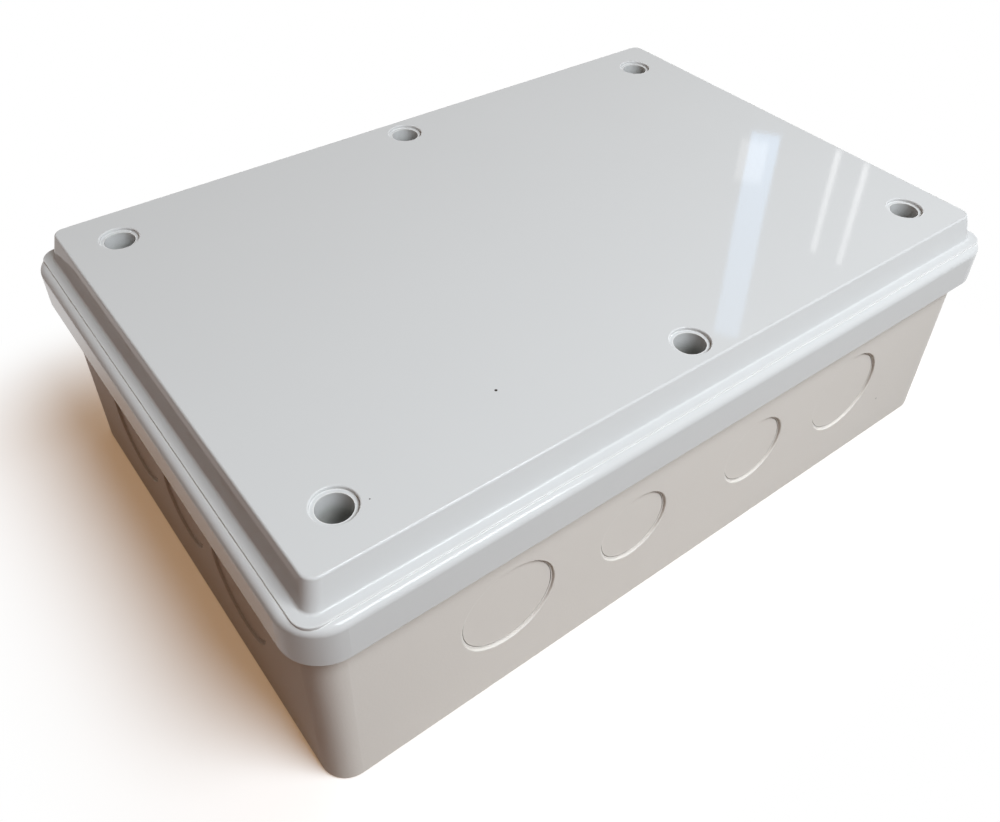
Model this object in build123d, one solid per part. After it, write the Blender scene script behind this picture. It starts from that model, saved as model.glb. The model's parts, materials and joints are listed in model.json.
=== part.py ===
from build123d import *
import math
import os

# Adaptable box: a tray with round blanked entries in its four walls, and a deep skirted lid that is held
# by six screws at the bottom of wells. Millimetres, +X along the long side, +Y along the short side, +Z up
# through the lid. The origin is the centre of the underside.

# Overall size, measured over the skirt of the lid
LENGTH = 225.0
WIDTH = 153.0
HEIGHT = 72.0

# Lid
SKIRT_DEPTH = 19.5
SKIRT_WALL = 2.5
SKIRT_CORNER = 10.5
SKIRT_HEM = 0.4
SHOULDER = 2.0
PLATEAU_INSET = 6.3
PLATEAU_RISE = 7.8
PLATEAU_DRAFT = 12.0
PLATEAU_CORNER = 3.2
PLATEAU_EDGE = 0.6
PLATEAU_ROOT = 0.6
LEDGE_INSET = 2.1
LEDGE_STEP = 0.4
LEDGE_CORNER = 4.8
LEDGE_EDGE = 0.25
LID_WALL = 2.5
ROOM_CORNER = 2.0
LIP_DROP = 4.6
LIP_CLEARANCE = 0.4

# Screw wells, a rectangle of four and a pair that stands further out on the middle of the long sides
CORNER_SCREW_INSET = 13.3
MIDDLE_SCREW_INSET = 7.6
WELL_BORE = 8.0
WELL_MOUTH = 10.0
WELL_MOUTH_DEPTH = 0.9
WELL_MOUTH_EDGE = 0.35
WELL_TUBE = 12.2
WELL_DEPTH = 15.0
WELL_FLOOR = 2.0
WELL_TAPER_EDGE = 0.5

# Base tray
SKIRT_CLEARANCE = 1.0
BASE_WALL = 2.5
BASE_FLOOR = 3.0
BASE_DRAFT = 0.55
BASE_CORNER = 7.3
BASE_FOOT_EDGE = 0.6
RIM_EDGE = 0.3
FOOT_BAND = 8.0
FOOT_RECESS = 0.6
FOOT_RECESS_CORNER = 4.0

# Seal between the rim of the base and the ledge of the lid
GASKET_WIDTH = 2.6
GASKET_THICKNESS = 1.6

# Lid screws, their sealing washers and the threaded inserts
SCREW_THREAD = 3.9
SCREW_LENGTH = 20.0
SCREW_TIP = 0.8
SCREW_HEAD = 7.0
SCREW_HEAD_HEIGHT = 2.4
SCREW_HEAD_EDGE = 0.6
RECESS_SPAN = 4.0
RECESS_SLOT = 1.0
RECESS_DEPTH = 1.5
WASHER = 7.4
WASHER_THICKNESS = 1.0
WASHER_CLEARANCE = 0.2
INSERT = 5.7
INSERT_LENGTH = 8.0
INSERT_FLANGE = 6.6
INSERT_FLANGE_HEIGHT = 0.8
INSERT_GRIP = 0.05
THREAD_CLEARANCE = 0.05
SHANK_CLEARANCE = 0.35

# Pillars that carry the inserts
PILLAR = 11.0
PILLAR_GAP = 0.2
PILLAR_BORE_SPARE = 2.0
RIB = 2.0

# Blanked cable entries
LARGE_CONDUIT = 25.0
SMALL_CONDUIT = 20.0
ENTRY_MARGIN = 0.8
ENTRY_RECESS = 0.7
ENTRY_LEDGE = 0.5
ENTRY_LIP = 0.25
ENTRY_HEIGHT = 29.4
LARGE_ENTRY_SPACING = 121.6
SMALL_ENTRY_SPACING = 43.8
END_ENTRY_SPACING = 62.0
END_ENTRY_SHIFT = -1.5
BLANK_THICKNESS = 1.3
BLANK_CLEARANCE = 0.05
BLANK_EDGE = 0.2

# Wall fixing holes in the floor
FIXING_SPACING_X = 160.0
FIXING_SPACING_Y = 100.0
FIXING_HOLE = 5.0
FIXING_BOSS = 12.0
FIXING_BOSS_RISE = 1.5
FIXING_SINK = 9.0

# Edges closer in height than this lie at the same level
SAME_LEVEL = 0.001

# Levels above the underside
LEDGE_TOP = HEIGHT - PLATEAU_RISE
SHOULDER_TOP = LEDGE_TOP - LEDGE_STEP
SKIRT_BOTTOM = HEIGHT - SKIRT_DEPTH
LEDGE_UNDERSIDE = LEDGE_TOP - LID_WALL
RIM_TOP = LEDGE_UNDERSIDE - GASKET_THICKNESS
ROOF_UNDERSIDE = HEIGHT - LID_WALL
WELL_SEAT = HEIGHT - WELL_DEPTH
WELL_BOTTOM = WELL_SEAT - WELL_FLOOR
PILLAR_TOP = WELL_BOTTOM - PILLAR_GAP
HEAD_SEAT = WELL_SEAT + WASHER_THICKNESS
SHANK_BOTTOM = HEAD_SEAT - SCREW_LENGTH
LIP_BOTTOM = LEDGE_UNDERSIDE - LIP_DROP

# Plan sizes that follow from the overall size
DRAFT_SLOPE = math.tan(math.radians(BASE_DRAFT))
BASE_INSET = SKIRT_WALL + SKIRT_CLEARANCE
BASE_LENGTH = LENGTH - 2 * BASE_INSET
BASE_WIDTH = WIDTH - 2 * BASE_INSET
PLATEAU_LENGTH = LENGTH - 2 * PLATEAU_INSET
PLATEAU_WIDTH = WIDTH - 2 * PLATEAU_INSET
PLATEAU_SLOPE = math.tan(math.radians(PLATEAU_DRAFT))


def centred(x, y, z):
    return Location((x, y, z))


def slab(length, width, corner, bottom, top):
    """A rounded rectangular slab between two levels."""
    outline = RectangleRounded(length, width, corner)
    return centred(0, 0, bottom) * extrude(outline, top - bottom)


def drafted_slab(inset, bottom, top):
    """A slab whose sides lie inset from the drafted outside of the base and lean with it."""
    narrowing = (SKIRT_BOTTOM - bottom) * DRAFT_SLOPE + inset
    length = BASE_LENGTH - 2 * narrowing
    width = BASE_WIDTH - 2 * narrowing
    outline = RectangleRounded(length, width, BASE_CORNER - narrowing)
    return centred(0, 0, bottom) * extrude(outline, top - bottom, taper=-BASE_DRAFT)


def rod(x, y, diameter, bottom, top):
    """An upright cylinder between two levels."""
    height = top - bottom
    return centred(x, y, bottom + height / 2) * Cylinder(diameter / 2, height)


def edges_at(solid, level):
    """The edges that lie flat at one level."""
    return solid.edges().filter_by_position(Axis.Z, level - SAME_LEVEL, level + SAME_LEVEL)


def circles_on(solid, plane, radius):
    """The round edges of one radius about the origin of a plane."""
    rings = solid.edges().filter_by(GeomType.CIRCLE)
    alike = [e for e in rings if abs(e.radius - radius) < SAME_LEVEL]
    return [e for e in alike if (e.arc_center - plane.origin).length < SAME_LEVEL]


def screw_places():
    """The six screw axes, counted from the front left corner."""
    corner_x = PLATEAU_LENGTH / 2 - CORNER_SCREW_INSET
    corner_y = PLATEAU_WIDTH / 2 - CORNER_SCREW_INSET
    middle_y = PLATEAU_WIDTH / 2 - MIDDLE_SCREW_INSET
    front = [(-corner_x, -corner_y), (0, -middle_y), (corner_x, -corner_y)]
    back = [(corner_x, corner_y), (0, middle_y), (-corner_x, corner_y)]
    return front + back


def fixing_places():
    return [(x * FIXING_SPACING_X / 2, y * FIXING_SPACING_Y / 2) for x in (-1, 1) for y in (-1, 1)]


def wall_plane(side, along):
    """The plane of the outside of one drafted wall at an entry, with its normal pointing outwards."""
    narrowing = (SKIRT_BOTTOM - ENTRY_HEIGHT) * DRAFT_SLOPE
    lean = -math.sin(math.radians(BASE_DRAFT))
    reach = math.cos(math.radians(BASE_DRAFT))
    half_width = BASE_WIDTH / 2 - narrowing
    half_length = BASE_LENGTH / 2 - narrowing
    planes = {
        "front": ((along, -half_width), (1, 0, 0), (0, -reach, lean)),
        "back": ((along, half_width), (-1, 0, 0), (0, reach, lean)),
        "left": ((-half_length, along), (0, -1, 0), (-reach, 0, lean)),
        "right": ((half_length, along), (0, 1, 0), (reach, 0, lean)),
    }
    place, sideways, normal = planes[side]
    return Plane(origin=(place[0], place[1], ENTRY_HEIGHT), x_dir=sideways, z_dir=normal)


def entries():
    """Name, wall plane and conduit size of every blanked entry."""
    large = LARGE_ENTRY_SPACING / 2
    small = SMALL_ENTRY_SPACING / 2
    end = END_ENTRY_SPACING / 2
    long_row = [(-large, LARGE_CONDUIT), (-small, SMALL_CONDUIT), (small, SMALL_CONDUIT), (large, LARGE_CONDUIT)]
    end_row = [(-end, LARGE_CONDUIT), (0, SMALL_CONDUIT), (end, LARGE_CONDUIT)]
    listed = []
    for side in ("front", "back"):
        for number, (along, conduit) in enumerate(long_row, 1):
            listed.append((f"knockout_{side}_{number}", wall_plane(side, along), conduit))
    for side in ("left", "right"):
        for number, (along, conduit) in enumerate(end_row, 1):
            listed.append((f"knockout_{side}_{number}", wall_plane(side, along + END_ENTRY_SHIFT), conduit))
    return listed


def disc(plane, radius, near, far):
    """A disc that lies between two depths behind the outside of a wall."""
    depth = far - near
    return plane * Location((0, 0, -near - depth / 2)) * Cylinder(radius, depth)


def entry_recess_radius(conduit):
    return conduit / 2 + ENTRY_MARGIN


def entry_hole_radius(conduit):
    return entry_recess_radius(conduit) - ENTRY_LEDGE


def make_pillar(x, y):
    """A screw pillar on the floor with a rib to each wall that it stands near."""
    pillar = rod(x, y, PILLAR, BASE_FLOOR / 2, PILLAR_TOP)
    height = PILLAR_TOP - BASE_FLOOR / 2
    level = BASE_FLOOR / 2 + height / 2
    side_y = math.copysign(BASE_WIDTH / 2 - BASE_WALL / 2, y)
    pillar += centred(x, (y + side_y) / 2, level) * Box(RIB, abs(side_y - y), height)
    if x:
        side_x = math.copysign(BASE_LENGTH / 2 - BASE_WALL / 2, x)
        pillar += centred((x + side_x) / 2, y, level) * Box(abs(side_x - x), RIB, height)
    return pillar


def make_base():
    """Drafted tray with the pillars, fixing bosses, and the stepped holes of the entries."""
    outside = drafted_slab(0, 0, RIM_TOP)
    outside = fillet(edges_at(outside, 0), BASE_FOOT_EDGE)
    inside = drafted_slab(BASE_WALL, BASE_FLOOR, RIM_TOP)
    tray = outside - inside
    tray = chamfer(edges_at(tray, RIM_TOP), RIM_EDGE)
    envelope = drafted_slab(BASE_WALL / 2, BASE_FLOOR / 2, PILLAR_TOP)
    for x, y in screw_places():
        tray += make_pillar(x, y) & envelope
    for x, y in fixing_places():
        tray += rod(x, y, FIXING_BOSS, BASE_FLOOR / 2, BASE_FLOOR + FIXING_BOSS_RISE)
    for x, y in screw_places():
        tray -= rod(x, y, INSERT - 2 * INSERT_GRIP, PILLAR_TOP - INSERT_LENGTH, PILLAR_TOP)
        tray -= rod(x, y, INSERT_FLANGE, PILLAR_TOP - INSERT_FLANGE_HEIGHT, PILLAR_TOP)
        tray -= rod(x, y, SCREW_THREAD + 2 * SHANK_CLEARANCE, SHANK_BOTTOM - PILLAR_BORE_SPARE, PILLAR_TOP)
    for x, y in fixing_places():
        boss_top = BASE_FLOOR + FIXING_BOSS_RISE
        tray -= rod(x, y, FIXING_HOLE, 0, boss_top)
        sink_depth = (FIXING_SINK - FIXING_HOLE) / 2
        sink = Cone(FIXING_HOLE / 2, FIXING_SINK / 2, sink_depth)
        tray -= centred(x, y, boss_top - sink_depth / 2) * sink
    for _, plane, conduit in entries():
        tray -= disc(plane, entry_recess_radius(conduit), -ENTRY_RECESS, ENTRY_RECESS)
        tray = fillet(circles_on(tray, plane, entry_recess_radius(conduit)), ENTRY_LIP)
        tray -= disc(plane, entry_hole_radius(conduit), 0, 2 * BASE_WALL)
    recess_length = BASE_LENGTH - 2 * FOOT_BAND
    recess_width = BASE_WIDTH - 2 * FOOT_BAND
    tray -= slab(recess_length, recess_width, FOOT_RECESS_CORNER, 0, FOOT_RECESS)
    return tray


def make_plateau():
    """The raised part of the lid: leaning walls, with corners of one radius from the top to the foot."""
    height = HEIGHT - LEDGE_UNDERSIDE
    spread = 2 * height * PLATEAU_SLOPE
    foot = Rectangle(PLATEAU_LENGTH + spread, PLATEAU_WIDTH + spread)
    block = centred(0, 0, LEDGE_UNDERSIDE) * extrude(foot, height, taper=PLATEAU_DRAFT)
    upright = [e for e in block.edges() if e.bounding_box().size.Z > height / 2]
    block = fillet(upright, PLATEAU_CORNER)
    return fillet(edges_at(block, HEIGHT), PLATEAU_EDGE)


def make_lid():
    """Skirt, ledge and raised plateau over a hollow, with the locating lip and the screw wells."""
    skirt = slab(LENGTH, WIDTH, SKIRT_CORNER, SKIRT_BOTTOM, SHOULDER_TOP)
    skirt = fillet(edges_at(skirt, SHOULDER_TOP), SHOULDER)
    skirt = fillet(edges_at(skirt, SKIRT_BOTTOM), SKIRT_HEM)
    ledge_length = LENGTH - 2 * LEDGE_INSET
    ledge_width = WIDTH - 2 * LEDGE_INSET
    ledge = slab(ledge_length, ledge_width, LEDGE_CORNER, LEDGE_UNDERSIDE, LEDGE_TOP)
    ledge = fillet(edges_at(ledge, LEDGE_TOP), LEDGE_EDGE)
    lid = skirt + ledge + make_plateau()
    foot_x = PLATEAU_LENGTH / 2 + PLATEAU_RISE * PLATEAU_SLOPE + SAME_LEVEL
    foot_y = PLATEAU_WIDTH / 2 + PLATEAU_RISE * PLATEAU_SLOPE + SAME_LEVEL
    at_ledge = edges_at(lid, LEDGE_TOP)
    root = [e for e in at_ledge if abs(e.center().X) < foot_x and abs(e.center().Y) < foot_y]
    lid = fillet(root, PLATEAU_ROOT)
    hollow_length = LENGTH - 2 * SKIRT_WALL
    hollow_width = WIDTH - 2 * SKIRT_WALL
    lid -= slab(hollow_length, hollow_width, SKIRT_CORNER - SKIRT_WALL, SKIRT_BOTTOM, LEDGE_UNDERSIDE)
    lip_inset = BASE_WALL + LIP_CLEARANCE
    lip_corner = BASE_CORNER - lip_inset
    lip_length = BASE_LENGTH - 2 * lip_inset
    lip_width = BASE_WIDTH - 2 * lip_inset
    lid += slab(lip_length, lip_width, lip_corner, LIP_BOTTOM, LEDGE_TOP)
    room_length = PLATEAU_LENGTH - 2 * LID_WALL
    room_width = PLATEAU_WIDTH - 2 * LID_WALL
    lid -= slab(room_length, room_width, ROOM_CORNER, LIP_BOTTOM, ROOF_UNDERSIDE)
    for x, y in screw_places():
        tube = rod(x, y, WELL_TUBE, WELL_BOTTOM, HEIGHT - PLATEAU_EDGE)
        lid += chamfer(edges_at(tube, WELL_BOTTOM), WELL_TAPER_EDGE)
    for x, y in screw_places():
        mouth_level = HEIGHT - WELL_MOUTH_DEPTH
        lid -= rod(x, y, WELL_BORE, WELL_SEAT, HEIGHT)
        lid -= rod(x, y, WELL_MOUTH, mouth_level, HEIGHT)
        lid -= rod(x, y, SCREW_THREAD + 2 * SHANK_CLEARANCE, WELL_BOTTOM, WELL_SEAT)
    rims = edges_at(lid, HEIGHT).filter_by(GeomType.CIRCLE)
    mouths = [e for e in rims if abs(e.radius - WELL_MOUTH / 2) < WELL_MOUTH_EDGE]
    return fillet(mouths, WELL_MOUTH_EDGE)


def make_gasket():
    """A rectangular ring that lies on the rim of the base."""
    rim_middle = BASE_WALL / 2 - (RIM_TOP - SKIRT_BOTTOM) * DRAFT_SLOPE
    outset = rim_middle - GASKET_WIDTH / 2
    inset = rim_middle + GASKET_WIDTH / 2
    outer = slab(BASE_LENGTH - 2 * outset, BASE_WIDTH - 2 * outset, BASE_CORNER - outset, RIM_TOP, LEDGE_UNDERSIDE)
    inner = slab(BASE_LENGTH - 2 * inset, BASE_WIDTH - 2 * inset, BASE_CORNER - inset, RIM_TOP, LEDGE_UNDERSIDE)
    return outer - inner


def make_screw(x, y):
    """Cheese head machine screw with a cross recess."""
    head_top = HEAD_SEAT + SCREW_HEAD_HEIGHT
    head = rod(x, y, SCREW_HEAD, HEAD_SEAT, head_top)
    head = fillet(edges_at(head, head_top), SCREW_HEAD_EDGE)
    shank = rod(x, y, SCREW_THREAD, SHANK_BOTTOM, HEAD_SEAT)
    shank = chamfer(edges_at(shank, SHANK_BOTTOM), SCREW_TIP)
    screw = head + shank
    recess_level = head_top - RECESS_DEPTH / 2
    screw -= centred(x, y, recess_level) * Box(RECESS_SPAN, RECESS_SLOT, RECESS_DEPTH)
    screw -= centred(x, y, recess_level) * Box(RECESS_SLOT, RECESS_SPAN, RECESS_DEPTH)
    return screw


def make_washer(x, y):
    hole = SCREW_THREAD + 2 * WASHER_CLEARANCE
    return rod(x, y, WASHER, WELL_SEAT, HEAD_SEAT) - rod(x, y, hole, WELL_SEAT, HEAD_SEAT)


def make_insert(x, y):
    """Flanged brass sleeve pressed into the top of a pillar."""
    sleeve = rod(x, y, INSERT, PILLAR_TOP - INSERT_LENGTH, PILLAR_TOP)
    sleeve += rod(x, y, INSERT_FLANGE, PILLAR_TOP - INSERT_FLANGE_HEIGHT, PILLAR_TOP)
    bore = SCREW_THREAD + 2 * THREAD_CLEARANCE
    return sleeve - rod(x, y, bore, PILLAR_TOP - INSERT_LENGTH, PILLAR_TOP)


def make_blank(plane, conduit):
    """The disc that closes an entry until it is knocked out."""
    radius = entry_hole_radius(conduit) - BLANK_CLEARANCE
    blank = Cylinder(radius, BLANK_THICKNESS)
    blank = chamfer(edges_at(blank, BLANK_THICKNESS / 2), BLANK_EDGE)
    return plane * Location((0, 0, -ENTRY_RECESS - BLANK_THICKNESS / 2)) * blank


def write(name, solid, colour):
    solid.label = name
    solid.color = Color(*colour)
    export_step(solid, f"parts/{name}.step")


HOUSING_GREY = (0.76, 0.74, 0.71)
LID_GREY = (0.78, 0.79, 0.79)
SEAL_BLACK = (0.10, 0.10, 0.11)
ZINC = (0.72, 0.73, 0.75)
NYLON = (0.90, 0.90, 0.88)
BRASS = (0.78, 0.62, 0.33)

os.makedirs("parts", exist_ok=True)
write("base", make_base(), HOUSING_GREY)
write("lid", make_lid(), LID_GREY)
write("lid_gasket", make_gasket(), SEAL_BLACK)
for number, (x, y) in enumerate(screw_places(), 1):
    write(f"lid_screw_{number}", make_screw(x, y), ZINC)
    write(f"screw_washer_{number}", make_washer(x, y), NYLON)
    write(f"thread_insert_{number}", make_insert(x, y), BRASS)
for name, plane, conduit in entries():
    write(name, make_blank(plane, conduit), HOUSING_GREY)
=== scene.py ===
import json
import math

import bpy
from mathutils import Matrix, Vector


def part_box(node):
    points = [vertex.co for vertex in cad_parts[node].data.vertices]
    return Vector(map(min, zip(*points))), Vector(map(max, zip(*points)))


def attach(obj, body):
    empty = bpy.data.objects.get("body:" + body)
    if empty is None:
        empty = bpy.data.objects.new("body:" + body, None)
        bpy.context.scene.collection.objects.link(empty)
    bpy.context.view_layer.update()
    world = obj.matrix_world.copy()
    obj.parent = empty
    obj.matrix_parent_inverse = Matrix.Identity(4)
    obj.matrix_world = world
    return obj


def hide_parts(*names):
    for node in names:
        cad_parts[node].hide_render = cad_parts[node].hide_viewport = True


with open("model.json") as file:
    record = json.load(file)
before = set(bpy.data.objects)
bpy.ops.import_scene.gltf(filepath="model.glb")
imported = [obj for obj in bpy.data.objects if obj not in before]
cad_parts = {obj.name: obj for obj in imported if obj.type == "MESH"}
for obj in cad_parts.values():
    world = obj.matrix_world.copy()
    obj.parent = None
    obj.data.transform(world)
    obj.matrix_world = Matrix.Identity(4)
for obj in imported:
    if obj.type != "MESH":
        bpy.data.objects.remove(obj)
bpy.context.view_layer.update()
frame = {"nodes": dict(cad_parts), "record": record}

MM = 0.001
NODES = frame["nodes"]

# The size of the picture, and the camera that sees the box as the photograph does. The camera looks at a
# point on the top of the lid from the front left, and leans a little.
IMAGE_WIDTH = 1000
IMAGE_HEIGHT = 822
SENSOR_WIDTH = 36.0
FOCAL_PIXELS = 986.06
PRINCIPAL_POINT = (522.6, 333.6)
CAMERA_AZIMUTH = math.radians(-39.19)
CAMERA_ELEVATION = math.radians(39.592)
CAMERA_ROLL = math.radians(2.063)
CAMERA_TARGET = Vector((-30.77, -37.08, 72.0)) * MM
CAMERA_DISTANCE = 234.82 * MM
CAMERA_NEAR = 0.01


def make_camera():
    azimuth, elevation = CAMERA_AZIMUTH, CAMERA_ELEVATION
    level = math.cos(elevation)
    back = Vector((math.sin(azimuth) * level, -math.cos(azimuth) * level, math.sin(elevation)))
    right = Vector((math.cos(azimuth), math.sin(azimuth), 0.0))
    up = back.cross(right)
    lean_right = right * math.cos(CAMERA_ROLL) + up * math.sin(CAMERA_ROLL)
    lean_up = up * math.cos(CAMERA_ROLL) - right * math.sin(CAMERA_ROLL)
    data = bpy.data.cameras.new("photo_camera")
    data.sensor_fit = "HORIZONTAL"
    data.sensor_width = SENSOR_WIDTH
    data.lens = FOCAL_PIXELS / IMAGE_WIDTH * SENSOR_WIDTH
    data.shift_x = (IMAGE_WIDTH / 2 - PRINCIPAL_POINT[0]) / IMAGE_WIDTH
    data.shift_y = (PRINCIPAL_POINT[1] - IMAGE_HEIGHT / 2) / IMAGE_WIDTH
    data.clip_start = CAMERA_NEAR
    camera = bpy.data.objects.new("photo_camera", data)
    place = CAMERA_TARGET + back * CAMERA_DISTANCE
    turn = Matrix((lean_right, lean_up, back)).transposed().to_4x4()
    camera.matrix_world = Matrix.Translation(place) @ turn
    bpy.context.scene.collection.objects.link(camera)
    bpy.context.scene.camera = camera


# Shader building. The Mix node keeps a set of sockets for each kind of value. These are the places of its
# factor and of its colour sockets.
MIX_FACTOR = 0
MIX_FIRST = 6
MIX_SECOND = 7
MIX_RESULT = 2


def new_group(name, inputs, outputs):
    """An empty shader group with named sockets, given as (name, kind, default) and as (name, kind)."""
    group = bpy.data.node_groups.new(name, "ShaderNodeTree")
    for label, kind, default in inputs:
        socket = group.interface.new_socket(name=label, in_out="INPUT", socket_type=f"NodeSocket{kind}")
        if default is not None:
            socket.default_value = default
    for label, kind in outputs:
        group.interface.new_socket(name=label, in_out="OUTPUT", socket_type=f"NodeSocket{kind}")
    return group, group.nodes.new("NodeGroupInput"), group.nodes.new("NodeGroupOutput")


def place_group(tree, group, **values):
    """Puts a group into a material. An underscore in a value's name is a space in the socket's name."""
    node = tree.nodes.new("ShaderNodeGroup")
    node.node_tree = group
    for label, value in values.items():
        feed(tree, node.inputs[label.replace("_", " ")], value)
    return node


def add(tree, kind, **settings):
    node = tree.nodes.new(f"ShaderNode{kind}")
    for name, value in settings.items():
        setattr(node, name, value)
    return node


def feed(tree, target, value):
    """Links a socket to an input, or sets the input to a constant."""
    if isinstance(value, bpy.types.NodeSocket):
        tree.links.new(value, target)
    else:
        target.default_value = value


def calculate(tree, operation, *values, clamp=False):
    node = add(tree, "Math", operation=operation, use_clamp=clamp)
    for slot, value in zip(node.inputs, values):
        feed(tree, slot, value)
    return node.outputs[0]


def noise(tree, vector, scale, detail, roughness=0.5):
    node = add(tree, "TexNoise")
    feed(tree, node.inputs["Vector"], vector)
    feed(tree, node.inputs["Scale"], scale)
    node.inputs["Detail"].default_value = detail
    node.inputs["Roughness"].default_value = roughness
    return node.outputs["Fac"]


def blend_colours(tree, factor, first, second, blend_type="MIX"):
    node = add(tree, "Mix", data_type="RGBA", blend_type=blend_type)
    feed(tree, node.inputs[MIX_FACTOR], factor)
    feed(tree, node.inputs[MIX_FIRST], first)
    feed(tree, node.inputs[MIX_SECOND], second)
    return node.outputs[MIX_RESULT]


def ramp_between(tree, value, low, high):
    """Rises softly from 0 at the low value to 1 at the high one."""
    node = add(tree, "MapRange", interpolation_type="SMOOTHSTEP")
    feed(tree, node.inputs["Value"], value)
    feed(tree, node.inputs["From Min"], low)
    feed(tree, node.inputs["From Max"], high)
    return node.outputs["Result"]


def object_coordinates(tree):
    return add(tree, "TexCoord").outputs["Object"]


def bump(tree, height, distance):
    node = add(tree, "Bump")
    node.inputs["Strength"].default_value = 1.0
    node.inputs["Distance"].default_value = distance
    tree.links.new(height, node.inputs["Height"])
    return node.outputs["Normal"]


def new_material(name):
    material = bpy.data.materials.new(name)
    material.use_nodes = True
    tree = material.node_tree
    return material, tree, tree.nodes["Principled BSDF"]


# The unevenness of a moulding: patches per metre, and how much of the colour drift each size of patch has
BROAD_SCALE = 22.0
MIDDLE_SCALE = 160.0
SINK_SCALE = 14.0
BROAD_SHARE = 0.7
MIDDLE_SHARE = 0.3
NOISE_MIDDLE = 0.5
NOISE_GAIN = 2.0

# Painted edge highlights: how far the surface round a point counts, and the turn at which the painted
# highlight starts and is full
EDGE_RADIUS = 0.6 * MM
EDGE_SAMPLES = 4
EDGE_START = 0.01
EDGE_END = 0.25

# Painted shade in sheltered places: how far the walls round a point count, and the share of closed sky at
# which the painted shade starts and is full
CREVICE_REACH = 1.0 * MM
CREVICE_SAMPLES = 8
CREVICE_START = 0.3
CREVICE_END = 0.9

# The inner part of a speck that is dark all over, as a share of its radius
SPECK_CORE = 0.6


def make_moulding_group():
    """Colour drift, uneven gloss, and the peel and sink of a moulded or plated surface."""
    group, given, result = new_group(
        "moulding",
        [
            ("Vector", "Vector", None),
            ("Colour", "Color", (0.5, 0.5, 0.5, 1.0)),
            ("Drift", "Float", 0.03),
            ("Gloss", "Float", 0.3),
            ("Gloss Drift", "Float", 0.05),
            ("Peel Scale", "Float", 900.0),
            ("Peel", "Float", 0.3),
            ("Sink", "Float", 0.5),
        ],
        [("Color", "Color"), ("Roughness", "Float"), ("Height", "Float")],
    )
    vector = given.outputs["Vector"]
    broad = noise(group, vector, BROAD_SCALE, detail=3.0)
    middle = noise(group, vector, MIDDLE_SCALE, detail=4.0, roughness=0.6)
    fine = noise(group, vector, given.outputs["Peel Scale"], detail=2.0, roughness=0.55)
    slow = noise(group, vector, SINK_SCALE, detail=0.0)

    def swing(pattern, amount):
        """A noise pattern made to run evenly below and above zero, by an amount."""
        level = calculate(group, "MULTIPLY", calculate(group, "SUBTRACT", pattern, NOISE_MIDDLE), amount)
        return calculate(group, "MULTIPLY", level, NOISE_GAIN)

    broad_part = calculate(group, "MULTIPLY", broad, BROAD_SHARE)
    middle_part = calculate(group, "MULTIPLY", middle, MIDDLE_SHARE)
    cloud = calculate(group, "ADD", broad_part, middle_part)
    level = calculate(group, "ADD", 1.0, swing(cloud, given.outputs["Drift"]))
    shade = add(group, "CombineColor")
    for slot in shade.inputs[:3]:
        group.links.new(level, slot)
    colour = blend_colours(group, 1.0, given.outputs["Colour"], shade.outputs[0], "MULTIPLY")
    group.links.new(colour, result.inputs["Color"])
    gloss_swing = swing(middle, given.outputs["Gloss Drift"])
    gloss = calculate(group, "ADD", given.outputs["Gloss"], gloss_swing, clamp=True)
    group.links.new(gloss, result.inputs["Roughness"])
    peel = calculate(group, "MULTIPLY", fine, given.outputs["Peel"])
    sink = calculate(group, "MULTIPLY", slow, given.outputs["Sink"])
    group.links.new(calculate(group, "ADD", peel, sink), result.inputs["Height"])
    return group


def make_edge_group():
    """A mask that is 1 on outside edges, from the turn that the surface makes within a radius."""
    group, _, result = new_group("edge_mask", [], [("Mask", "Float")])
    bevel = add(group, "Bevel", samples=EDGE_SAMPLES)
    bevel.inputs["Radius"].default_value = EDGE_RADIUS
    geometry = add(group, "NewGeometry")
    dot = add(group, "VectorMath", operation="DOT_PRODUCT")
    group.links.new(bevel.outputs[0], dot.inputs[0])
    group.links.new(geometry.outputs["Normal"], dot.inputs[1])
    turn = calculate(group, "SUBTRACT", 1.0, dot.outputs["Value"])
    group.links.new(ramp_between(group, turn, EDGE_START, EDGE_END), result.inputs["Mask"])
    return group


def make_crevice_group():
    """A mask that is 1 where the walls within reach leave little sky open, as in corners, gaps and wells."""
    group, given, result = new_group(
        "crevice",
        [("Reach", "Float", CREVICE_REACH), ("Start", "Float", CREVICE_START), ("End", "Float", CREVICE_END)],
        [("Mask", "Float")],
    )
    shelter = add(group, "AmbientOcclusion", samples=CREVICE_SAMPLES)
    group.links.new(given.outputs["Reach"], shelter.inputs["Distance"])
    closed = calculate(group, "SUBTRACT", 1.0, shelter.outputs["AO"])
    mask = ramp_between(group, closed, given.outputs["Start"], given.outputs["End"])
    group.links.new(mask, result.inputs["Mask"])
    return group


def make_speck_group():
    """A round speck at a point of the piece."""
    group, given, result = new_group(
        "speck",
        [("Vector", "Vector", None), ("Centre", "Vector", None), ("Radius", "Float", 0.4 * MM)],
        [("Mask", "Float")],
    )
    apart = add(group, "VectorMath", operation="DISTANCE")
    group.links.new(given.outputs["Vector"], apart.inputs[0])
    group.links.new(given.outputs["Centre"], apart.inputs[1])
    core = calculate(group, "MULTIPLY", given.outputs["Radius"], SPECK_CORE)
    inside = ramp_between(group, apart.outputs["Value"], given.outputs["Radius"], core)
    group.links.new(inside, result.inputs["Mask"])
    return group


MOULDING = make_moulding_group()
EDGE_MASK = make_edge_group()
CREVICE = make_crevice_group()
SPECK = make_speck_group()


def screen_colour(red, green, blue):
    """A colour as it reads on a screen, from 0 to 255, as the shader's linear light."""
    def linear(value):
        value /= 255
        return value / 12.92 if value <= 0.04045 else ((value + 0.055) / 1.055) ** 2.4
    return (linear(red), linear(green), linear(blue), 1.0)


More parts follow.
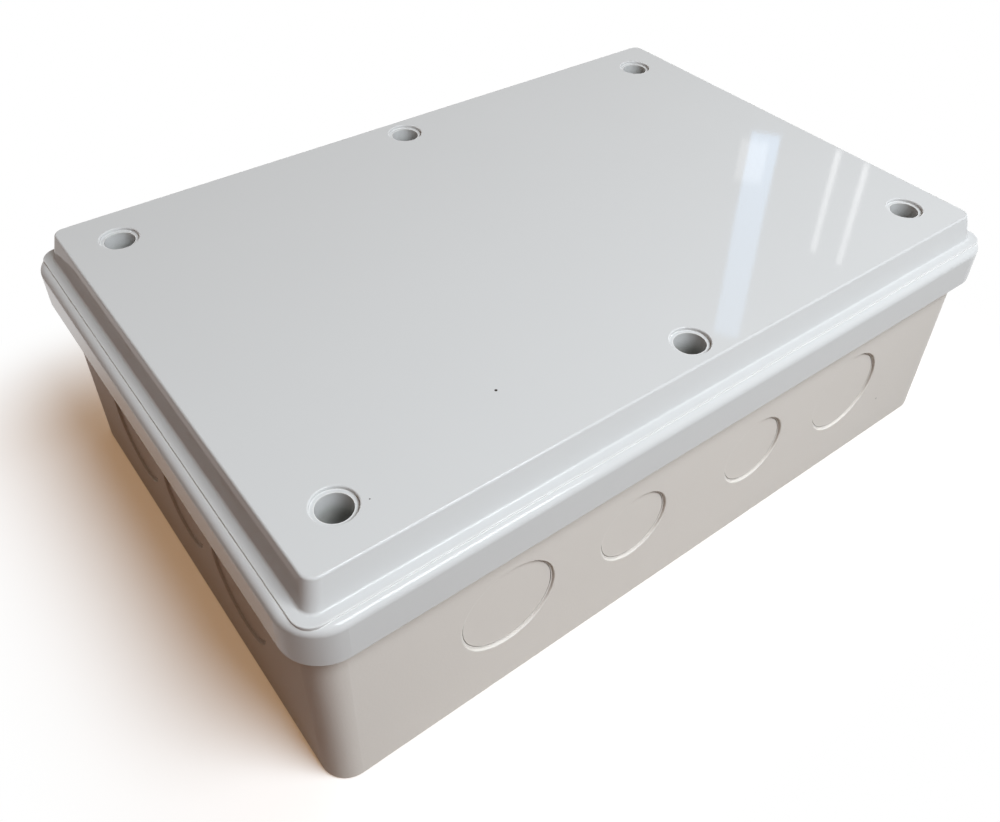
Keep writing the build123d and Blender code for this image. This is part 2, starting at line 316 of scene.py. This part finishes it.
LID_COLOUR = screen_colour(205, 206, 206)
BASE_COLOUR = screen_colour(219, 214, 208)
RUBBER_COLOUR = screen_colour(42, 42, 44)
NYLON_COLOUR = screen_colour(226, 223, 212)
ZINC_COLOUR = screen_colour(200, 202, 206)
BRASS_COLOUR = screen_colour(214, 176, 104)
# Painted highlight colour, laid on outside edges
PAINTED_HIGHLIGHT_COLOUR = screen_colour(244, 243, 240)
# Painted shade colour, laid in corners, gaps and recesses
PAINTED_SHADE_COLOUR = screen_colour(112, 97, 84)

# The lid's screw wells take painted shade down their bores, whose walls stand further apart than a corner's
WELL_SHADE_COLOUR = screen_colour(100, 97, 84)
WELL_REACH = 9.0 * MM
WELL_START = 0.6
WELL_END = 0.95

# Dark specks in the plastic: place on the piece and radius, in millimetres
SPECK_COLOUR = screen_colour(60, 55, 50)
LID_SPECKS = [((-47.7, -49.2, 72.0), 0.45), ((-86.5, -59.7, 72.0), 0.2)]
BASE_SPECKS = [
    ((-47.0, -72.8, 49.8), 0.3),
    ((-18.0, -72.6, 22.0), 0.3),
    ((44.0, -72.6, 41.0), 0.25),
    ((82.0, -72.6, 15.0), 0.3),
]

# How deep the height pattern of a finish goes
PLASTIC_RELIEF = 0.05 * MM
METAL_RELIEF = 0.01 * MM


def plastic(
    name, colour, drift, gloss, gloss_drift, peel_scale, peel, shine,
    sink=0.0, edge_highlight=0.0, crevice_shade=0.0, wells=0.0, specks=(),
):
    """A moulded plastic or rubber with its own colour and gloss. The edge amount lightens its edges with a
    painted highlight, and the corner and well amounts darken its corners and its deep bores with painted
    shade."""
    material, tree, shader = new_material(name)
    vector = object_coordinates(tree)
    body = place_group(
        tree, MOULDING, Vector=vector, Colour=colour, Drift=drift, Gloss=gloss,
        Gloss_Drift=gloss_drift, Peel_Scale=peel_scale, Peel=peel, Sink=sink,
    )
    edge = place_group(tree, EDGE_MASK).outputs["Mask"]
    crevice = place_group(tree, CREVICE).outputs["Mask"]
    # Painted highlight: open outside edges are lightened towards a pale colour, away from sheltered corners
    open_edge = calculate(tree, "MULTIPLY", edge, calculate(tree, "SUBTRACT", 1.0, crevice))
    painted_highlight = calculate(tree, "MULTIPLY", open_edge, edge_highlight)
    result = blend_colours(tree, painted_highlight, body.outputs["Color"], PAINTED_HIGHLIGHT_COLOUR)
    # Painted shade: corners, gaps and recesses where little sky is open are darkened
    result = blend_colours(tree, calculate(tree, "MULTIPLY", crevice, crevice_shade), result, PAINTED_SHADE_COLOUR)
    # Painted shade: deep bores, such as the screw wells, are darkened further down
    if wells:
        deep = place_group(tree, CREVICE, Reach=WELL_REACH, Start=WELL_START, End=WELL_END).outputs["Mask"]
        result = blend_colours(tree, calculate(tree, "MULTIPLY", deep, wells), result, WELL_SHADE_COLOUR)
    for centre, radius in specks:
        speck = place_group(tree, SPECK, Vector=vector, Centre=Vector(centre) * MM, Radius=radius * MM)
        result = blend_colours(tree, speck.outputs["Mask"], result, SPECK_COLOUR)
    tree.links.new(result, shader.inputs["Base Color"])
    tree.links.new(body.outputs["Roughness"], shader.inputs["Roughness"])
    tree.links.new(bump(tree, body.outputs["Height"], PLASTIC_RELIEF), shader.inputs["Normal"])
    shader.inputs["Specular IOR Level"].default_value = shine
    return material


def metal(name, colour, gloss):
    """A plated or turned metal with a fine grain."""
    material, tree, shader = new_material(name)
    body = place_group(
        tree, MOULDING, Vector=object_coordinates(tree), Colour=colour, Drift=0.05, Gloss=gloss,
        Gloss_Drift=0.08, Peel_Scale=2500.0, Peel=0.4, Sink=0.0,
    )
    tree.links.new(body.outputs["Color"], shader.inputs["Base Color"])
    tree.links.new(body.outputs["Roughness"], shader.inputs["Roughness"])
    tree.links.new(bump(tree, body.outputs["Height"], METAL_RELIEF), shader.inputs["Normal"])
    shader.inputs["Metallic"].default_value = 1.0
    return material


def make_materials():
    """The material of every slot."""
    # The edge, corner and well amounts below paint highlights on edges and shade in corners and bores
    return {
        "lid_plastic": plastic(
            "lid_plastic", LID_COLOUR, drift=0.015, gloss=0.04, gloss_drift=0.015, peel_scale=700.0,
            peel=0.03, shine=0.2, sink=1.0, edge_highlight=0.8, crevice_shade=0.1, wells=0.75, specks=LID_SPECKS,
        ),
        "base_plastic": plastic(
            "base_plastic", BASE_COLOUR, drift=0.02, gloss=0.38, gloss_drift=0.05, peel_scale=1400.0,
            peel=0.5, shine=0.03, sink=1.0, edge_highlight=1.0, crevice_shade=0.9, specks=BASE_SPECKS,
        ),
        "seal_rubber": plastic(
            "seal_rubber", RUBBER_COLOUR, drift=0.1, gloss=0.75, gloss_drift=0.1, peel_scale=2500.0,
            peel=1.0, shine=0.4,
        ),
        "washer_nylon": plastic(
            "washer_nylon", NYLON_COLOUR, drift=0.02, gloss=0.4, gloss_drift=0.05, peel_scale=2000.0,
            peel=0.3, shine=0.5, crevice_shade=0.3,
        ),
        "zinc_steel": metal("zinc_steel", ZINC_COLOUR, gloss=0.28),
        "insert_brass": metal("insert_brass", BRASS_COLOUR, gloss=0.3),
    }


MATERIALS = make_materials()


def dress_nodes():
    """Every CAD node takes the material of its slot."""
    slots = {row["node"]: row["material_slot"] for row in frame["record"]["subparts"]}
    for name, node in NODES.items():
        material = MATERIALS[slots[name]]
        if not node.data.materials:
            node.data.materials.append(material)
        for slot in node.material_slots:
            slot.material = material


# Pieces modelled in the place of CAD solids. Lengths are in millimetres. Each piece is made about the
# vertical axis of the origin, and screws and washers are then copied to their places.
SCREW_HEAD_RADIUS = 3.5
SCREW_HEAD_HEIGHT = 2.4
SCREW_HEAD_EDGE = 0.6
SCREW_MAJOR_RADIUS = 1.95
SCREW_MINOR_RADIUS = 1.6
SCREW_PITCH = 0.7
SCREW_NECK = 2.0
SCREW_NECK_TAPER = 0.32
SCREW_TIP = 0.8
THREAD_STEPS = 24
THREAD_WELD = 0.005
RECESS_SPAN = 4.0
RECESS_SLOT = 0.9
RECESS_DEPTH = 1.4
RECESS_CORE = 0.95
RECESS_CORE_DROP = 0.2
RECESS_EDGE = 0.07
CUTTER_SPARE = 1.0
SCREW_ANGLES = (12, 55, 78, 30, 67, 4)
WASHER_HOLE_RADIUS = 2.15
WASHER_EDGE = 0.22
GASKET_WIDTH = 2.6
GASKET_CORNER = 7.4
GASKET_EDGE = 0.45
ROUND_STEPS = 48
SMOOTH_ANGLE = math.radians(35)
LEVEL_FACE = 0.9


def deselect():
    bpy.ops.object.select_all(action="DESELECT")


def select_only(piece):
    deselect()
    piece.select_set(True)
    bpy.context.view_layer.objects.active = piece


def settle(piece):
    """Writes the piece's place, turn and scale into its mesh."""
    select_only(piece)
    bpy.ops.object.transform_apply(location=True, rotation=True, scale=True)


def apply_modifier(piece, kind, **settings):
    select_only(piece)
    modifier = piece.modifiers.new(kind.lower(), kind)
    for name, value in settings.items():
        setattr(modifier, name, value)
    bpy.ops.object.modifier_apply(modifier=modifier.name)


def round_edges(piece, width, segments):
    apply_modifier(piece, "BEVEL", width=width * MM, segments=segments, limit_method="ANGLE")


def edit_faces(piece, chosen, operation, **settings):
    """Runs one edit mode operation on the faces that a test chooses."""
    select_only(piece)
    bpy.ops.object.mode_set(mode="EDIT")
    bpy.ops.mesh.select_mode(type="FACE")
    bpy.ops.mesh.select_all(action="DESELECT")
    bpy.ops.object.mode_set(mode="OBJECT")
    for face in piece.data.polygons:
        face.select = chosen(face)
    bpy.ops.object.mode_set(mode="EDIT")
    operation(**settings)
    bpy.ops.object.mode_set(mode="OBJECT")


def facing_up(face):
    return face.normal.z > LEVEL_FACE


def facing_down(face):
    return face.normal.z < -LEVEL_FACE


def face_outwards(piece):
    select_only(piece)
    bpy.ops.object.mode_set(mode="EDIT")
    bpy.ops.mesh.select_all(action="SELECT")
    bpy.ops.mesh.normals_make_consistent(inside=False)
    bpy.ops.object.mode_set(mode="OBJECT")
    bpy.ops.object.shade_smooth_by_angle(angle=SMOOTH_ANGLE)


def add_cylinder(radius, bottom, top, **settings):
    deselect()
    middle = (bottom + top) / 2 * MM
    bpy.ops.mesh.primitive_cylinder_add(
        vertices=ROUND_STEPS, radius=radius * MM, depth=(top - bottom) * MM, location=(0, 0, middle),
        **settings,
    )
    piece = bpy.context.object
    settle(piece)
    return piece


def add_box(length, width, bottom, top):
    deselect()
    bpy.ops.mesh.primitive_cube_add(size=1, location=(0, 0, (bottom + top) / 2 * MM))
    piece = bpy.context.object
    piece.scale = (length * MM, width * MM, (top - bottom) * MM)
    settle(piece)
    return piece


def cut(piece, cutter):
    apply_modifier(piece, "BOOLEAN", operation="DIFFERENCE", solver="EXACT", object=cutter)
    bpy.data.objects.remove(cutter)


def join(pieces):
    select_only(pieces[0])
    for piece in pieces[1:]:
        piece.select_set(True)
    bpy.ops.object.join()
    return pieces[0]


def make_screw_head(seat):
    """Cheese head with a rounded rim and a cross recess."""
    top = seat + SCREW_HEAD_HEIGHT
    head = add_cylinder(SCREW_HEAD_RADIUS, seat, top)
    edit_faces(head, facing_up, bpy.ops.mesh.bevel, offset=SCREW_HEAD_EDGE * MM, segments=5)
    bottom = top - RECESS_DEPTH
    cutter_top = top + CUTTER_SPARE
    cut(head, add_box(RECESS_SPAN, RECESS_SLOT, bottom, cutter_top))
    cut(head, add_box(RECESS_SLOT, RECESS_SPAN, bottom, cutter_top))
    cut(head, add_cylinder(RECESS_CORE, bottom - RECESS_CORE_DROP, cutter_top))
    round_edges(head, RECESS_EDGE, segments=2)
    return head


def make_thread_profile(bottom):
    """Two sides of a triangle that points outwards, beside the core at the thread's lower end."""
    deselect()
    quarter = math.pi / 2
    upright = (quarter, quarter, 0)
    bpy.ops.mesh.primitive_circle_add(vertices=3, radius=MM, fill_type="NOTHING", rotation=upright)
    profile = bpy.context.object
    settle(profile)
    bpy.ops.object.mode_set(mode="EDIT")
    bpy.ops.mesh.select_mode(type="EDGE")
    bpy.ops.mesh.select_all(action="DESELECT")
    bpy.ops.object.mode_set(mode="OBJECT")
    mesh = profile.data
    for edge in mesh.edges:
        edge.select = all(mesh.vertices[index].co.x < 0 for index in edge.vertices)
    bpy.ops.object.mode_set(mode="EDIT")
    bpy.ops.mesh.delete(type="EDGE_FACE")
    bpy.ops.object.mode_set(mode="OBJECT")

    # A triangle with corners 1 mm from its centre is 1.5 mm high and has sides of the square root of 3 mm
    crest = SCREW_MAJOR_RADIUS - SCREW_MINOR_RADIUS
    profile.scale = (crest / 1.5, 1, SCREW_PITCH / math.sqrt(3))
    profile.location = Vector((SCREW_MINOR_RADIUS + crest / 3, 0, bottom + SCREW_PITCH / 2)) * MM
    settle(profile)
    return profile


def make_screw_thread(bottom, turns):
    """A V profile wound up from a level."""
    thread = make_thread_profile(bottom)
    apply_modifier(
        thread, "SCREW", axis="Z", angle=2 * math.pi, steps=THREAD_STEPS, render_steps=THREAD_STEPS,
        screw_offset=SCREW_PITCH * MM, iterations=turns, use_merge_vertices=False,
    )
    apply_modifier(thread, "WELD", merge_threshold=THREAD_WELD * MM)
    return thread


def make_screw(seat, bottom):
    """One lid screw: head, plain neck, thread and a tapered tip."""
    head = make_screw_head(seat)
    core = add_cylinder(SCREW_MINOR_RADIUS, bottom, seat)
    edit_faces(core, facing_down, bpy.ops.mesh.bevel, offset=SCREW_TIP * MM, segments=1)
    neck_bottom = seat - SCREW_NECK
    neck = add_cylinder(SCREW_MAJOR_RADIUS, neck_bottom, seat)
    edit_faces(neck, facing_down, bpy.ops.mesh.bevel, offset=SCREW_NECK_TAPER * MM, segments=2)
    thread_bottom = bottom + SCREW_TIP
    turns = int((neck_bottom - thread_bottom) / SCREW_PITCH)
    screw = join([head, core, neck, make_screw_thread(thread_bottom, turns)])
    face_outwards(screw)
    return screw


def make_washer(radius, bottom, top):
    """A sealing washer with rounded edges."""
    washer = add_cylinder(radius, bottom, top, end_fill_type="NOTHING")
    apply_modifier(washer, "SOLIDIFY", thickness=(radius - WASHER_HOLE_RADIUS) * MM, offset=-1)
    round_edges(washer, WASHER_EDGE, segments=3)
    face_outwards(washer)
    return washer


def make_gasket(low, high):
    """A ring of foam rubber with soft edges, along the rim of the base."""
    deselect()
    bpy.ops.mesh.primitive_plane_add(size=1, location=(0, 0, high.z))
    gasket = bpy.context.object
    gasket.scale = (high.x - low.x, high.y - low.y, 1)
    settle(gasket)
    corner = GASKET_CORNER * MM
    edit_faces(gasket, facing_up, bpy.ops.mesh.bevel, offset=corner, segments=10, affect="VERTICES")
    edit_faces(gasket, facing_up, bpy.ops.mesh.inset, thickness=GASKET_WIDTH * MM)
    middle = Vector((0, 0, high.z))
    edit_faces(gasket, lambda face: (face.center - middle).length < MM, bpy.ops.mesh.delete, type="FACE")
    apply_modifier(gasket, "SOLIDIFY", thickness=high.z - low.z, offset=-1)
    round_edges(gasket, GASKET_EDGE, segments=3)
    face_outwards(gasket)
    return gasket


def copy_to(piece, place, turn, name):
    """A copy of a piece that was made about the origin's vertical axis, set at a place."""
    select_only(piece)
    bpy.ops.object.duplicate()
    copy = bpy.context.object
    copy.rotation_euler.z = turn
    copy.location = (place.x, place.y, 0)
    settle(copy)
    copy.name = name
    return copy


def hand_over(piece, slot, body, node):
    """Gives a finished piece the material of its slot, and puts it in the place of a CAD node."""
    piece.data.materials.clear()
    piece.data.materials.append(MATERIALS[slot])
    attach(piece, body)
    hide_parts(node)


def corners(node):
    low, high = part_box(node)
    return Vector(low), Vector(high)


def make_fasteners():
    """Six screws and six washers, each modelled once and copied to the boxes of the CAD nodes."""
    low, high = corners("lid_screw_1")
    screw = make_screw(high.z / MM - SCREW_HEAD_HEIGHT, low.z / MM)
    low, high = corners("screw_washer_1")
    washer = make_washer((high.x - low.x) / 2 / MM, low.z / MM, high.z / MM)
    for number, angle in enumerate(SCREW_ANGLES, 1):
        low, high = corners(f"lid_screw_{number}")
        place = (low + high) / 2
        copy = copy_to(screw, place, math.radians(angle), f"screw_detail_{number}")
        hand_over(copy, "zinc_steel", f"screw_{number}", f"lid_screw_{number}")
        copy = copy_to(washer, place, 0, f"washer_detail_{number}")
        hand_over(copy, "washer_nylon", f"seal_{number}", f"screw_washer_{number}")
    bpy.data.objects.remove(screw)
    bpy.data.objects.remove(washer)


def make_seal():
    gasket = make_gasket(*corners("lid_gasket"))
    gasket.name = "gasket_foam"
    hand_over(gasket, "seal_rubber", "lid", "lid_gasket")


# Floor. It shows white away from the box, and near the box it takes the shadow. Rays that light the box meet
# a duller floor, which is brown to the left of the box and darker to its right.
BLACK = (0.0, 0.0, 0.0, 1.0)
WHITE = (1.0, 1.0, 1.0, 1.0)
FLOOR_SIZE = 12.0
FLOOR_ROUGHNESS = 0.9
FLOOR_NEAR = (0.84, 0.90, 0.94, 1.0)
FLOOR_NEAR_GLOW = (0.24, 0.14, 0.07, 1.0)
FLOOR_NEAR_HALF_SIZES = {"X": 0.109, "Y": 0.073}
FLOOR_NEAR_FADE = (0.0, 0.06)
FLOOR_BOUNCE = (0.34, 0.30, 0.27, 1.0)
RIGHT_BOUNCE = (0.10, 0.08, 0.06, 1.0)
RIGHT_BOUNCE_FADE = (-0.05, 0.2)
LEFT_BOUNCE = (0.10, 0.035, 0.005, 1.0)
LEFT_BOUNCE_FADE = (-0.14, -0.08)

# Sky that lights the box: its colour overhead, and its colour low down towards each side
SKY_TOP = (0.135, 0.09, 0.055, 1.0)
SKY_SIDES = {
    ("X", 1): (0.50, 0.50, 0.51, 1.0),
    ("X", -1): (0.24, 0.055, 0.0, 1.0),
    ("Y", 1): (0.42, 0.41, 0.40, 1.0),
    ("Y", -1): (0.20, 0.19, 0.18, 1.0),
}
SKY_SIDES_FADE = (0.15, 0.5)

# Soft lamps: place, target, width and height, power, colour, and whether gloss mirrors the lamp
LAMPS = {
    "soft_key": ((0.13, -0.51, 0.74), (0, 0, 0.05), (0.48, 0.35), 9.0, (0.89, 0.95, 1.0), True),
    "back_fill": ((0.65, 0.90, 0.12), (0, 0, 0.04), (1.5, 0.4), 4.5, (1.0, 0.99, 0.97), False),
}

# Upright panes of a window that the lid reflects: place, width and height, power, colour
WINDOW_BLUE = (0.42, 0.67, 1.0)
WINDOW_WHITE = (1.0, 1.0, 1.0)
WINDOWS = {
    "window_tall_pane": ((1.450, 0.980, 1.20), (0.062, 0.56), 0.38, WINDOW_BLUE),
    "window_low_pane": ((1.411, 0.976, 0.972), (0.058, 0.10), 0.025, WINDOW_WHITE),
    "window_left_gap": ((1.538, 0.854, 1.06), (0.012, 0.26), 0.03, WINDOW_WHITE),
    "window_right_gap": ((1.573, 0.803, 1.08), (0.012, 0.26), 0.03, WINDOW_WHITE),
}


def seen_directly(tree):
    """Tells the rays that show the background, to the camera or in gloss and glass, from those that light."""
    path = add(tree, "LightPath").outputs
    seen = calculate(tree, "MAXIMUM", path["Is Camera Ray"], path["Is Glossy Ray"])
    return calculate(tree, "MAXIMUM", seen, path["Is Transmission Ray"])


def distance_outside(tree, parts):
    """How far a point of the floor lies outside the rectangle that the box stands on."""
    beyond = add(tree, "CombineXYZ")
    for axis, half in FLOOR_NEAR_HALF_SIZES.items():
        outside = calculate(tree, "SUBTRACT", calculate(tree, "ABSOLUTE", parts.outputs[axis]), half)
        feed(tree, beyond.inputs[axis], calculate(tree, "MAXIMUM", outside, 0.0))
    distance = add(tree, "VectorMath", operation="LENGTH")
    feed(tree, distance.inputs[0], beyond.outputs[0])
    return distance.outputs["Value"]


def make_floor():
    deselect()
    bpy.ops.mesh.primitive_plane_add(size=FLOOR_SIZE)
    floor = bpy.context.object
    floor.name = "studio_floor"
    material, tree, shader = new_material("studio_floor")
    seen = seen_directly(tree)
    parts = add(tree, "SeparateXYZ")
    feed(tree, parts.inputs[0], object_coordinates(tree))
    to_right = ramp_between(tree, parts.outputs["X"], *RIGHT_BOUNCE_FADE)
    from_left = ramp_between(tree, parts.outputs["X"], *LEFT_BOUNCE_FADE)
    bounce = blend_colours(tree, to_right, FLOOR_BOUNCE, RIGHT_BOUNCE)
    bounce = blend_colours(tree, from_left, LEFT_BOUNCE, bounce)
    away = ramp_between(tree, distance_outside(tree, parts), *FLOOR_NEAR_FADE)
    shown = blend_colours(tree, away, FLOOR_NEAR, BLACK)
    glow = blend_colours(tree, away, FLOOR_NEAR_GLOW, WHITE)
    tree.links.new(blend_colours(tree, seen, bounce, shown), shader.inputs["Base Color"])
    tree.links.new(blend_colours(tree, seen, BLACK, glow), shader.inputs["Emission Color"])
    shader.inputs["Emission Strength"].default_value = 1.0
    shader.inputs["Roughness"].default_value = FLOOR_ROUGHNESS
    shader.inputs["Specular IOR Level"].default_value = 0.0
    floor.data.materials.append(material)


def make_world():
    """A sky with its own colour above and towards each side, which is seen as white."""
    world = bpy.data.worlds.new("studio_sky")
    bpy.context.scene.world = world
    world.use_nodes = True
    tree = world.node_tree
    parts = add(tree, "SeparateXYZ")
    feed(tree, parts.inputs[0], add(tree, "TexCoord").outputs["Generated"])
    level = calculate(tree, "ADD", *(calculate(tree, "POWER", parts.outputs[axis], 2.0) for axis in "XY"))
    sides = BLACK
    for (axis, sign), colour in SKY_SIDES.items():
        towards = calculate(tree, "MULTIPLY", parts.outputs[axis], sign, clamp=True)
        share = calculate(tree, "DIVIDE", calculate(tree, "POWER", towards, 2.0), level)
        sides = blend_colours(tree, share, sides, colour, "ADD")
    height = ramp_between(tree, parts.outputs["Z"], *SKY_SIDES_FADE)
    lit = blend_colours(tree, height, sides, SKY_TOP)
    shown = blend_colours(tree, seen_directly(tree), lit, WHITE)
    tree.links.new(shown, tree.nodes["Background"].inputs["Color"])


def make_lamp(name, place, target, size, power, colour, mirrored=True):
    data = bpy.data.lights.new(name, "AREA")
    data.shape = "RECTANGLE"
    data.size, data.size_y = size
    data.energy = power
    data.color = colour
    lamp = bpy.data.objects.new(name, data)
    lamp.location = place
    lamp.rotation_euler = (Vector(target) - Vector(place)).to_track_quat("-Z", "Y").to_euler()
    lamp.visible_glossy = mirrored
    bpy.context.scene.collection.objects.link(lamp)


def make_light():
    make_world()
    for name, (place, size, power, colour) in WINDOWS.items():
        level_target = (0, 0, place[2])
        make_lamp(name, place, level_target, size, power, colour)
    for name, values in LAMPS.items():
        make_lamp(name, *values)


make_camera()
dress_nodes()
make_fasteners()
make_seal()
make_floor()
make_light()
bpy.context.scene.view_settings.view_transform = "Standard"
